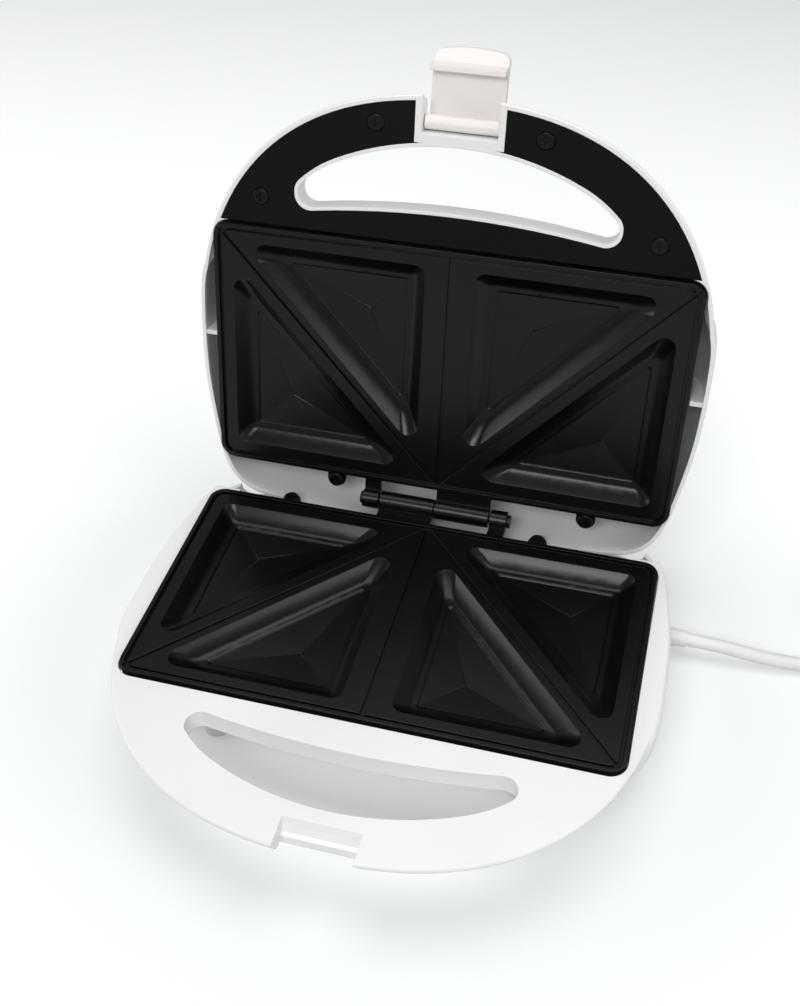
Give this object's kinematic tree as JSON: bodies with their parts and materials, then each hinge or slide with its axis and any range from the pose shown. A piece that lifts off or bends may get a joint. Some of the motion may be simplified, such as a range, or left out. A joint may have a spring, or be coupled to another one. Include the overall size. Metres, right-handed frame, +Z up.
{
  "type": "sandwich toaster",
  "caption": "Countertop sandwich toaster, open: white hinged housings, black ribless pocket plates, handle loops, front latch, mains cord.",
  "frame": {"origin": "on the table under the middle of the object's box, cord not counted, lid and latch open", "axes": "+X to the right seen from the handle side, +Y to the back (hinge side), +Z up"},
  "size_m": [0.4577, 0.2665, 0.2514],
  "materials": {
    "white_housing": "smooth moulded white plastic, satin gloss",
    "black_trim": "fine matte black moulding",
    "latch_white": "moulded warm white",
    "non_stick": "die-cast metal with black non-stick coating",
    "black_screw": "black oxide steel",
    "steel": "plain steel",
    "heater_sheath": "heat-darkened steel sheath",
    "reflector_sheet": "bright sheet",
    "pad_rubber": "grey rubber",
    "cord_pvc": "soft white PVC",
    "tie": "thin plastic band",
    "plug_metal": "nickel-plated brass",
    "insulator": "moulded insulator",
    "lens_red": "clear red lens",
    "lens_green": "clear green lens"
  },
  "bodies": {
    "base": {"base_shell": "white_housing", "base_handle_cover": "white_housing", "base_cover_screws": "steel", "foot_pads": "pad_rubber", "hinge_pin": "black_screw", "thermostat": "steel", "thermal_fuse": "insulator", "terminal_block": "insulator", "cord_inner_end": "cord_pvc", "inner_leads": "insulator", "cord_clamp": "insulator", "cord_clamp_screws": "steel", "strain_relief": "cord_pvc", "power_cord": "cord_pvc", "cord_coil": "cord_pvc", "cord_tie": "tie", "plug_body": "cord_pvc", "plug_pins": "plug_metal", "lower_plate": "non_stick", "lower_plate_screws": "black_screw", "lower_heater": "heater_sheath", "lower_heater_clamps": "steel", "lower_clamp_screws": "steel", "lower_reflector": "reflector_sheet"},
    "lid": {"lid_shell": "white_housing", "lid_handle_trim": "black_trim", "lid_trim_screws": "black_screw", "lamp_board": "insulator", "lamp_lens_red": "lens_red", "lamp_lens_green": "lens_green", "latch_pin": "steel", "upper_plate": "non_stick", "upper_plate_screws": "black_screw", "upper_heater": "heater_sheath", "upper_heater_clamps": "steel", "upper_clamp_screws": "steel", "upper_reflector": "reflector_sheet"},
    "latch": {"latch": "latch_white"}
  },
  "joints": [
    {"name": "lid_hinge", "type": "hinge", "parent": "base", "child": "lid", "pos_m": [0, 0.0669, 0.043], "axis": [1, 0, 0], "range_deg": [0, 101]},
    {"name": "latch_pivot", "type": "hinge", "parent": "lid", "child": "latch", "pos_m": [0, 0.11129, 0.22578], "axis": [1, 0, 0], "range_deg": [0, 95]}
  ]
}
